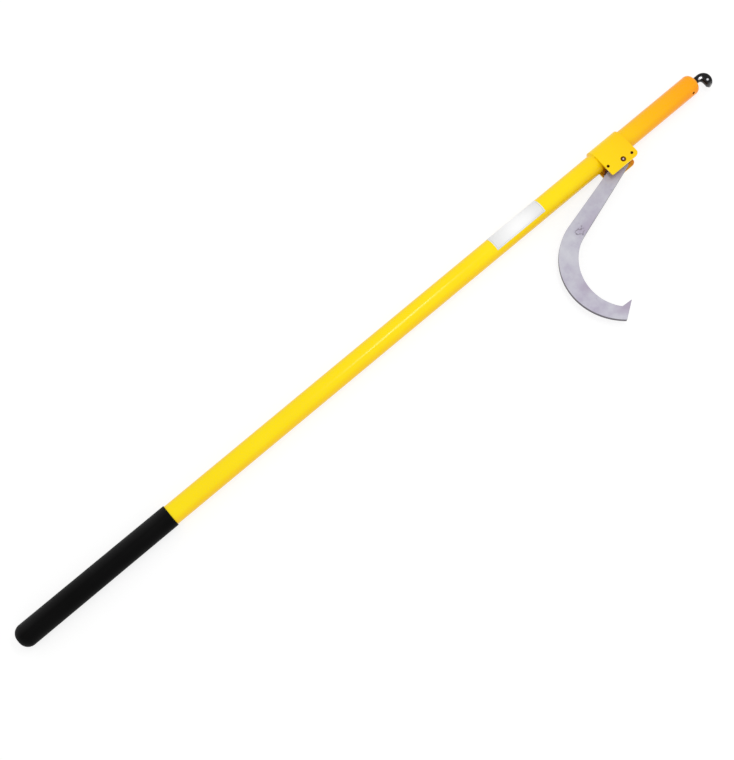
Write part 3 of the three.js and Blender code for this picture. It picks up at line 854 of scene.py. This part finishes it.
class CANTHOOK_OT_toe_plug(bpy.types.Operator):
    """Builds the rounded toe plug and the set screw that locks it"""

    bl_idname = "cant_hook.toe_plug"
    bl_label = "Toe Plug"

    def execute(self, context):
        handle = settings().handle
        pins = settings().pins
        shoulder = tube_high.x
        spigot = TUBE_RADIUS - handle.tube_wall - pins.bore_gap
        small = handle.end_rounding
        profile = [
            (plug_low.x, handle.plug_bore),
            (plug_low.x, spigot - small),
            (plug_low.x + small, spigot),
            (shoulder, spigot),
            (shoulder, TUBE_RADIUS - small),
            (shoulder + small, TUBE_RADIUS),
            *high_round(plug_high.x, TUBE_RADIUS, handle.plug_rounding, steps=16),
            (plug_high.x, handle.plug_bore + small),
            (plug_high.x - small, handle.plug_bore),
        ]
        plug = turned_on_handle("toe_plug_piece", profile, closed=True)
        dress(plug, "handle", [powder_coat()], ["toe_plug"])

        start, axis = screw_axis()
        top = TUBE_RADIUS - handle.screw_recess
        foot = settings().tooth.shank_radius + pins.bore_gap
        body = turned(rod(foot, top, handle.screw_radius, small / 2), axis, start, ALONG, segments=48)
        screw = make_object("set_screw_piece", body)
        socket_radius = handle.screw_radius * handle.socket_share
        socket = screw_shape(socket_radius, start=top - handle.screw_radius, end=top * 2, segments=6)
        turn = Matrix.Rotation(handle.socket_turn, 3, axis)
        bmesh.ops.rotate(socket, verts=socket.verts, cent=start, matrix=turn)
        cut(screw, socket)
        dress(screw, "handle", [blackened_steel()], ["toe_set_screw"])
        return {"FINISHED"}


class CANTHOOK_OT_grip(bpy.types.Operator):
    """Builds the dipped grip and the plug under its closed end"""

    bl_idname = "cant_hook.grip"
    bl_label = "Grip"

    def execute(self, context):
        grip = settings().grip
        handle = settings().handle
        gap = settings().pins.bore_gap
        butt = grip_low.x
        mouth = grip_high.x
        pocket = butt + grip.end_wall
        rounding = handle.plug_rounding
        inner = TUBE_RADIUS + gap / 10
        profile = [
            (butt, 0),
            *low_round(butt, TUBE_RADIUS + grip.butt_wall, grip.end_rounding, steps=20),
            *high_round(mouth, TUBE_RADIUS + grip.mouth_wall, grip.lip_rounding, steps=5),
            (mouth, inner),
            (pocket + rounding * 2, inner),
            *reversed(low_round(pocket, TUBE_RADIUS, rounding, steps=8)),
            (pocket, 0),
        ]
        sleeve = turned_on_handle("grip_piece", profile)
        dress(sleeve, "handle", [dipped_vinyl()], ["grip"])

        plug_box_low, plug_box_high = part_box("butt_plug")
        shoulder = tube_low.x - gap
        spigot = TUBE_RADIUS - handle.tube_wall - gap
        small = handle.end_rounding
        inside = spigot - handle.plug_wall
        profile = [
            (plug_box_low.x, 0),
            *low_round(plug_box_low.x, TUBE_RADIUS, rounding, steps=10),
            (shoulder, TUBE_RADIUS),
            (shoulder, spigot),
            (plug_box_high.x - small, spigot),
            (plug_box_high.x, spigot - small),
            (plug_box_high.x, inside),
            (shoulder, inside),
            (shoulder, 0),
        ]
        plug = turned_on_handle("butt_plug_piece", profile, segments=96)
        dress(plug, "handle", [moulded_plastic()], ["butt_plug"])
        return {"FINISHED"}


def stop_pin_places():
    """The two stop pins' middles, read from the frame."""
    places = {}
    for name in ("closing_stop_pin", "opening_stop_pin"):
        low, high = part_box(name)
        radius = settings().pins.stop_radius
        places[name] = Vector((low.x + radius, (low.y + high.y) / 2, PIVOT.z))
    return places


def pin_bores(radii):
    """Cutters for the bores across the cheeks, from each bore's place and radius."""
    bm = bmesh.new()
    overrun_share = 1.2
    reach = BRACKET_HALF_WIDTH * overrun_share
    for place, radius in radii:
        profile = [(-reach, 0), (-reach, radius), (reach, radius), (reach, 0)]
        bore = turned(profile, UPRIGHT, place, ALONG, segments=48)
        mesh = bpy.data.meshes.new("bore")
        bore.to_mesh(mesh)
        bore.free()
        bm.from_mesh(mesh)
        bpy.data.meshes.remove(mesh)
    return bm


class CANTHOOK_OT_bracket(bpy.types.Operator):
    """Bends the strap round the tube, bores its cheeks and lays the welds at the collar's ends"""

    bl_idname = "cant_hook.bracket"
    bl_label = "Bracket"

    def execute(self, context):
        bracket = settings().bracket
        pins = settings().pins
        middle = BRACKET_HALF_WIDTH - bracket.wall / 2
        bm = bmesh.new()
        first = bm.verts.new((bracket_low.x, bracket_low.y, AXIS.z + middle))
        bend = drawn_to(bm, first, (bracket_low.x, AXIS.y, AXIS.z + middle))
        bend_end = drawn_round(bm, bend, AXIS, -ALONG, math.pi, bracket.bend_steps)
        drawn_to(bm, bend_end, (bracket_low.x, bracket_low.y, bend_end.co.z))
        drawn = bmesh.ops.extrude_edge_only(bm, edges=bm.edges[:])
        move_drawn(bm, drawn, ALONG * (bracket_high.x - bracket_low.x))
        for end, radius in ((bracket_high.x, bracket.toe_corner), (bracket_low.x, bracket.butt_corner)):
            corners = [
                vert for vert in bm.verts
                if abs(vert.co.x - end) < SAME_PLACE and abs(vert.co.y - bracket_low.y) < SAME_PLACE
            ]
            round_flat_corners(bm, corners, radius, segments=8)
        bmesh.ops.recalc_face_normals(bm, faces=bm.faces)
        strap = make_object("bracket_piece", bm)
        wall = strap.modifiers.new("Strap wall", "SOLIDIFY")
        wall.thickness = bracket.wall
        wall.offset = 0
        wall.use_even_offset = True
        keep_modifiers_result(strap)
        radii = [(place, pins.stop_radius + pins.bore_gap) for place in stop_pin_places().values()]
        radii.append((PIVOT, pins.pivot_radius + pins.bore_gap))
        cut(strap, pin_bores(radii))
        dress(strap, "handle", [powder_coat()], ["bracket"])
        round_edges(strap, bracket.edge_rounding)
        for name, end, outward in (("toe", bracket_high.x, 1), ("butt", bracket_low.x, -1)):
            self.weld(f"bracket_weld_{name}", end, outward)
        return {"FINISHED"}

    def weld(self, name, end, outward):
        """A low painted fillet between the collar's end and the tube, on the side away from the hook."""
        leg = settings().bracket.weld_leg
        span = settings().bracket.weld_span
        root_share = 0.025
        root = TUBE_RADIUS + leg * root_share
        out_and_up_shares = ((0, 0), (0, 1), (0.42, 0.62), (0.8, 0.24), (1, 0))
        profile = [(end + outward * leg * out, root + leg * up) for out, up in out_and_up_shares]
        side = Matrix.Rotation(-span / 2, 3, "X") @ AWAY
        bead = make_object(name, turned(profile, ALONG, AXIS, side, segments=64, closed=True, angle=span))
        finish = powder_coat("painted_weld", ripples=0.5)
        dress(bead, "handle", [finish], sharp=math.radians(60))


class CANTHOOK_OT_pins(bpy.types.Operator):
    """Builds the pivot pin, the two slotted stop pins, and the washers and spacers on the pivot"""

    bl_idname = "cant_hook.pins"
    bl_label = "Pins, Washers and Spacers"

    def execute(self, context):
        self.pivot_pin()
        for name, place in stop_pin_places().items():
            self.stop_pin(name, place)
        for node in ("upper_washer", "lower_washer", "upper_spacer", "lower_spacer"):
            self.threaded(node)
        return {"FINISHED"}

    def pivot_pin(self):
        pins = settings().pins
        end = BRACKET_HALF_WIDTH - pins.flush_depth
        groove = end - pins.pivot_end_depth
        small = pins.flush_depth
        half = [
            (groove, pins.pivot_radius),
            (groove, pins.pivot_end_radius + small),
            (groove + small, pins.pivot_end_radius),
            (end - small, pins.pivot_end_radius),
            (end, pins.pivot_end_radius - small),
            (end, 0),
        ]
        profile = [(-along, radius) for along, radius in reversed(half)] + half
        pin = turned_on_pivot("pivot_pin_piece", profile)
        bright = bright_turned_steel("bright_pin_ends", PIVOT)
        dress(pin, "handle", [bright, blackened_steel()], ["pivot_pin"])
        for face in pin.data.polygons:
            height = abs(face.center.z - PIVOT.z)
            face.material_index = 0 if height > end - small else 1

    def stop_pin(self, name, place):
        pins = settings().pins
        half = BRACKET_HALF_WIDTH - pins.flush_depth
        slot = 2 * math.asin(pins.stop_slot / (2 * pins.stop_radius))
        side = Matrix.Rotation(pins.slot_side + slot / 2, 3, "Z") @ ALONG
        wall = ring(-half, half, pins.stop_radius, pins.stop_radius - pins.stop_wall, pins.stop_wall / 4)
        bm = turned(wall, UPRIGHT, place, side, segments=40, closed=True, angle=math.tau - slot)
        pin = make_object(f"{name}_piece", bm)
        dress(pin, "handle", [blackened_steel()], [name])

    def threaded(self, node):
        """A washer or spacer on the pivot pin."""
        pins = settings().pins
        low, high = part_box(node)
        outer = (high.x - low.x) / 2
        inner = pins.pivot_radius + pins.bore_gap
        profile = ring(low.z - PIVOT.z, high.z - PIVOT.z, outer, inner, pins.bore_gap)
        piece = turned_on_pivot(f"{node}_piece", profile, closed=True)
        dress(piece, "handle", [plated_steel()], [node])


def throat_middle():
    """Centre of the throat's bend, seen from the pivot."""
    hook = settings().hook
    middle = polar(hook.heel_radius + hook.throat_radius, hook.shank_angle + math.pi / 2)
    return middle + polar(hook.shank_length, hook.shank_angle)


class CANTHOOK_OT_hook(bpy.types.Operator):
    """Cuts the plate hook from its arcs and bores its eye"""

    bl_idname = "cant_hook.hook"
    bl_label = "Hook"

    def execute(self, context):
        hook = settings().hook
        pins = settings().pins
        bm = bmesh.new()
        base = Vector((PIVOT.x, PIVOT.y, hook_low.z))
        self.draw_outline(bm, base)
        bmesh.ops.contextual_create(bm, geom=bm.edges[:])
        drawn = bmesh.ops.extrude_face_region(bm, geom=bm.faces[:])
        move_drawn(bm, drawn, UPRIGHT * (hook_high.z - hook_low.z))
        bmesh.ops.recalc_face_normals(bm, faces=bm.faces)
        plate = make_object("hook_piece", bm)
        cut(plate, pin_bores([(PIVOT, pins.pivot_radius + pins.running_gap)]))
        dress(plate, "hook", [plate_face(), plate_edge()], ["hook"])
        for face in plate.data.polygons:
            face.material_index = 0 if abs(face.normal.z) > 0.5 else 1
        round_edges(plate, hook.edge_rounding)
        return {"FINISHED"}

    def draw_outline(self, bm, base):
        """Draws the hook's outline as a closed chain of straight edges and arcs."""
        hook = settings().hook
        outer_normal = hook.outer_edge_angle - math.pi / 2
        inner_normal = hook.shank_angle + math.pi / 2
        shoulder_radius = hook.throat_radius + hook.shoulder_margin
        back_radius = hook.throat_radius + hook.back_margin
        outer_length = hook.shank_length + hook.outer_edge_extra
        shoulder = polar(hook.eye_radius - shoulder_radius, outer_normal)
        shoulder += polar(outer_length, hook.outer_edge_angle)
        throat = throat_middle()
        shoulder_end = shoulder + polar(shoulder_radius, hook.shoulder_end)
        back = shoulder_end - polar(back_radius, hook.shoulder_end)
        heel_span = inner_normal - math.tau - hook.heel_angle
        heel_run = (hook.heel_radius - hook.eye_radius * math.cos(heel_span)) / math.sin(-heel_span)
        heel = polar(hook.eye_radius, hook.heel_angle) + polar(heel_run, hook.heel_angle - math.pi / 2)
        point = throat + polar(hook.throat_radius - hook.point_height, hook.point_angle)

        def chain_to(corner, place):
            return drawn_to(bm, corner, base + place.to_3d())

        def chain_round(corner, centre, angle):
            steps = round(abs(angle) / hook.arc_step)
            return drawn_round(bm, corner, base + centre.to_3d(), UPRIGHT, angle, steps)

        first = bm.verts.new(base + polar(hook.eye_radius, hook.heel_angle).to_3d())
        vert = chain_round(first, Vector((0, 0)), outer_normal - hook.heel_angle)
        vert = chain_to(vert, shoulder + polar(shoulder_radius, outer_normal))
        vert = chain_round(vert, shoulder, hook.shoulder_end - outer_normal)
        vert = chain_round(vert, back, hook.back_end - hook.shoulder_end)
        vert = chain_to(vert, point)
        nook = throat + polar(hook.throat_radius, hook.throat_end)
        before = throat + polar(hook.throat_radius, hook.throat_end - hook.nook_lead)
        for place in rounded_corner(point, nook, before, hook.nook_rounding, steps=6):
            vert = chain_to(vert, place)
        vert = chain_to(vert, before)
        vert = chain_round(vert, throat, inner_normal - math.pi - hook.throat_end + hook.nook_lead)
        vert = chain_to(vert, heel)
        bm.edges.new((vert, first))


class CANTHOOK_OT_tooth(bpy.types.Operator):
    """Draws the toe tooth out of its round shank, section by section, down to its ground tip"""

    bl_idname = "cant_hook.tooth"
    bl_label = "Toe Tooth"

    def execute(self, context):
        tooth = settings().tooth
        bm = bmesh.new()
        around = bm.verts.layers.float.new("around")
        turn = Matrix.Rotation(math.pi / 2, 4, "Y")
        start = Matrix.Translation((tooth_low.x, AXIS.y, AXIS.z))
        bmesh.ops.create_circle(
            bm, cap_ends=True, segments=48, radius=tooth.shank_radius, matrix=start @ turn)
        for vert in bm.verts:
            vert[around] = math.atan2(vert.co.z - AXIS.z, vert.co.y - AXIS.y)
        end_face = bm.faces[:]
        shank_end = end_face[0]
        for mouth_side, crown_side, half_width, square in self.sections():
            drawn = bmesh.ops.extrude_face_region(bm, geom=end_face)["geom"]
            if end_face[0] is not shank_end:
                bmesh.ops.delete(bm, geom=end_face, context="FACES_ONLY")
            end_face = [item for item in drawn if isinstance(item, bmesh.types.BMFace)]
            middle = (mouth_side + crown_side) / 2
            for vert in end_face[0].verts:
                across = self.flattened(math.cos(vert[around]), square)
                up = self.flattened(math.sin(vert[around]), square)
                place = middle + (crown_side - middle) * across
                vert.co = Vector((plug_high.x + place.x, AXIS.y + place.y, AXIS.z + half_width * up))
        bmesh.ops.recalc_face_normals(bm, faces=bm.faces)
        beak = make_object("toe_tooth_piece", bm)
        sharp = math.radians(40)
        dress(beak, "handle", [polished_black()], ["toe_tooth"], sharp=sharp)
        round_edges(beak, tooth.edge_rounding, angle=sharp)
        return {"FINISHED"}

    @staticmethod
    def flattened(share, square):
        return math.copysign(abs(share) ** (1 / square), share)

    @staticmethod
    def sections():
        """Each section's mouth side and crown side, its half width and how square it is.

        The sides are measured from the plug's face and the tube's axis."""
        tooth = settings().tooth
        bend_steps, straight_steps = 18, 18
        radius = tooth.shank_radius
        crown_middle = Vector((tooth_high.x - plug_high.x, radius)) - Vector((1, 1)) * tooth.crown_radius
        steps = bend_steps + straight_steps + 1
        crown = arc(crown_middle, tooth.crown_radius, math.pi / 2, tooth.crown_end, steps)
        tip_back = crown[-1]
        mouth_low = Vector((tooth.mouth_reach, tip_back.y + tooth.tip_slant))
        mouth_high = Vector((tooth.mouth_reach, -radius))
        neck = Vector((tooth.neck_length, -radius))
        mouth = rounded_corner(neck, mouth_high, mouth_low, tooth.mouth_rounding, bend_steps)
        bend_end = mouth[-1]
        mouth += [bend_end.lerp(mouth_low, (step + 1) / straight_steps) for step in range(straight_steps)]
        mouth.append(tip_back - Vector((tooth.tip_width, 0)))
        made = [(Vector((tooth.neck_length, -radius)), Vector((tooth.neck_length, radius)), radius, 1)]
        for step, (mouth_side, crown_side) in enumerate(zip(mouth, crown)):
            share = min(1, step / bend_steps)
            half_width = radius + (tooth.half_width - radius) * share
            made.append((mouth_side, crown_side, half_width, 1 + (tooth.squareness - 1) * share))
        return made


class CANTHOOK_OT_label(bpy.types.Operator):
    """Lays the bare label round the tube"""

    bl_idname = "cant_hook.label"
    bl_label = "Label"

    def execute(self, context):
        label = settings().label
        width = label.hook_side + label.away_side
        bm = bmesh.new()
        lift_share = 0.25
        radius = TUBE_RADIUS + label.thickness * lift_share
        edge = AXIS + Matrix.Rotation(label.hook_side, 3, "X") @ UPRIGHT * radius
        first = bm.verts.new(edge + ALONG * label.butt_end)
        drawn_round(bm, first, AXIS + ALONG * label.butt_end, -ALONG, width, steps=48)
        drawn = bmesh.ops.extrude_edge_only(bm, edges=bm.edges[:])
        move_drawn(bm, drawn, ALONG * (label.toe_end - label.butt_end))
        corners = [vert for vert in bm.verts if len(vert.link_edges) == 2]
        round_flat_corners(bm, corners, label.corner, segments=6)
        bmesh.ops.recalc_face_normals(bm, faces=bm.faces)
        spots = bm.loops.layers.uv.new("label")
        for face in bm.faces:
            for loop in face.loops:
                across = (loop.vert.co - AXIS).yz
                around = math.atan2(-across.x, across.y)
                spot = (loop.vert.co.x - label.butt_end, (label.hook_side - around) * TUBE_RADIUS)
                loop[spots].uv = spot
        sticker = make_object("label_piece", bm)
        dress(sticker, "handle", [label_vinyl()])
        film = sticker.modifiers.new("Film", "SOLIDIFY")
        film.thickness = label.thickness
        film.offset = 1
        return {"FINISHED"}


class CANTHOOK_OT_stage(bpy.types.Operator):
    """Lays the floor and sets the lamp, the room's light and the camera"""

    bl_idname = "cant_hook.stage"
    bl_label = "Floor, Lights and Camera"

    def execute(self, context):
        self.camera()
        self.floor()
        self.room()
        self.strip_lamp()
        return {"FINISHED"}

    def camera(self):
        stage = settings().stage
        data = bpy.data.cameras.new("photo_camera")
        data.lens = stage.lens
        data.sensor_width = SENSOR_WIDTH
        data.clip_start = NEAREST_SEEN
        data.clip_end = FARTHEST_SEEN
        camera = bpy.data.objects.new("photo_camera", data)
        camera.rotation_euler = (stage.tilt, stage.lean, stage.turn)
        back = camera.rotation_euler.to_matrix() @ UPRIGHT
        camera.location = Vector(stage.target) + back * stage.distance
        bpy.context.scene.collection.objects.link(camera)
        bpy.context.scene.camera = camera

    def floor(self):
        """A wide pale floor: the camera sees it white, and the object's soft shadow stays on it."""
        stage = settings().stage
        bm = bmesh.new()
        bmesh.ops.create_grid(bm, x_segments=8, y_segments=8, size=stage.floor_side / 2)
        middle = Vector((stage.floor_middle, 0, bracket_low.z - stage.floor_gap))
        bmesh.ops.translate(bm, verts=bm.verts, vec=middle)
        floor = make_object("floor", bm)
        finish = Finish("pale_floor")
        finish.set(Base_Color=[*stage.floor_colour, 1], Roughness=0.8, Specular_IOR_Level=0.1)
        glow = finish.add("ShaderNodeEmission", {"Color": (*WHITE, 1), "Strength": stage.floor_glow})
        matt = finish.add("ShaderNodeBsdfDiffuse", {"Color": [*stage.floor_matt, 1]})
        shown = finish.add("ShaderNodeAddShader", {0: glow.outputs[0], 1: matt.outputs[0]})
        ray = finish.add("ShaderNodeLightPath").outputs
        looked_at = finish.maths("MAXIMUM", ray["Is Camera Ray"], ray["Is Glossy Ray"])
        finish.feed(finish.output.inputs["Surface"], finish.mixed(looked_at, finish.surface, shown))
        floor.data.materials.append(finish.material)

    def room(self):
        """Even light from all round; what looks at the room directly sees it white."""
        level = settings().stage.room_level
        world = bpy.data.worlds.new("studio_room")
        nodes = Nodes(world)
        ray = nodes.add("ShaderNodeLightPath").outputs
        looked_at = nodes.maths("MAXIMUM", ray["Is Camera Ray"], ray["Is Transmission Ray"])
        soft = nodes.add("ShaderNodeBackground", {"Color": (*WHITE, 1), "Strength": level})
        white = nodes.add("ShaderNodeBackground", {"Color": (*WHITE, 1)})
        nodes.add("ShaderNodeOutputWorld", {"Surface": nodes.mixed(looked_at, soft, white)})
        bpy.context.scene.world = world

    def strip_lamp(self):
        """A long narrow lamp, turned across the handle: it draws the thin bright line on the paint.
        Its level is the brightness that it adds on a white surface facing it."""
        stage = settings().stage
        data = bpy.data.lights.new("strip_lamp", "AREA")
        data.shape = "RECTANGLE"
        data.size, data.size_y = stage.strip_sides
        back = Vector(stage.strip_place) - Vector((stage.strip_aim, AXIS.y, AXIS.z))
        data.energy = stage.strip_level * math.pi ** 2 * back.length_squared
        back.normalize()
        across = back.cross(polar(1, stage.strip_turn).to_3d()).normalized()
        lamp = bpy.data.objects.new("strip_lamp", data)
        lamp.location = stage.strip_place
        lamp.rotation_euler = Matrix((across.cross(back), across, back)).transposed().to_euler()
        bpy.context.scene.collection.objects.link(lamp)


class CANTHOOK_PT_panel(bpy.types.Panel):
    """Lists the cant hook's pieces and their settings"""

    bl_idname = "CANTHOOK_PT_panel"
    bl_label = "Cant Hook"
    bl_space_type = "VIEW_3D"
    bl_region_type = "UI"
    bl_category = "Cant Hook"

    def draw(self, context):
        groups = context.scene.cant_hook
        for group_name, operators in PANEL_ROWS:
            box = self.layout.box()
            group = getattr(groups, group_name)
            for key in group.__annotations__:
                box.prop(group, key, text=key.replace("_", " ").capitalize())
            for operator in operators:
                box.operator(operator.bl_idname)


BUILD_ORDER = (
    CANTHOOK_OT_stage,
    CANTHOOK_OT_handle_tube,
    CANTHOOK_OT_toe_plug,
    CANTHOOK_OT_grip,
    CANTHOOK_OT_bracket,
    CANTHOOK_OT_pins,
    CANTHOOK_OT_hook,
    CANTHOOK_OT_tooth,
    CANTHOOK_OT_label,
)

PANEL_ROWS = (
    ("handle", (CANTHOOK_OT_handle_tube, CANTHOOK_OT_toe_plug)),
    ("grip", (CANTHOOK_OT_grip,)),
    ("bracket", (CANTHOOK_OT_bracket,)),
    ("pins", (CANTHOOK_OT_pins,)),
    ("hook", (CANTHOOK_OT_hook,)),
    ("tooth", (CANTHOOK_OT_tooth,)),
    ("label", (CANTHOOK_OT_label,)),
    ("stage", (CANTHOOK_OT_stage,)),
)

CLASSES = (
    HandleSettings,
    GripSettings,
    BracketSettings,
    PinSettings,
    HookSettings,
    ToothSettings,
    LabelSettings,
    StageSettings,
    CantHookSettings,
    *BUILD_ORDER,
    CANTHOOK_PT_panel,
)


def register():
    for made in CLASSES:
        bpy.utils.register_class(made)
    bpy.types.Scene.cant_hook = PointerProperty(type=CantHookSettings)


def unregister():
    del bpy.types.Scene.cant_hook
    for made in reversed(CLASSES):
        bpy.utils.unregister_class(made)


def main():
    register()
    bpy.context.scene.view_settings.view_transform = "Standard"
    for operator in BUILD_ORDER:
        group, name = operator.bl_idname.split(".")
        getattr(getattr(bpy.ops, group), name)()


if __name__ == "__main__":
    main()
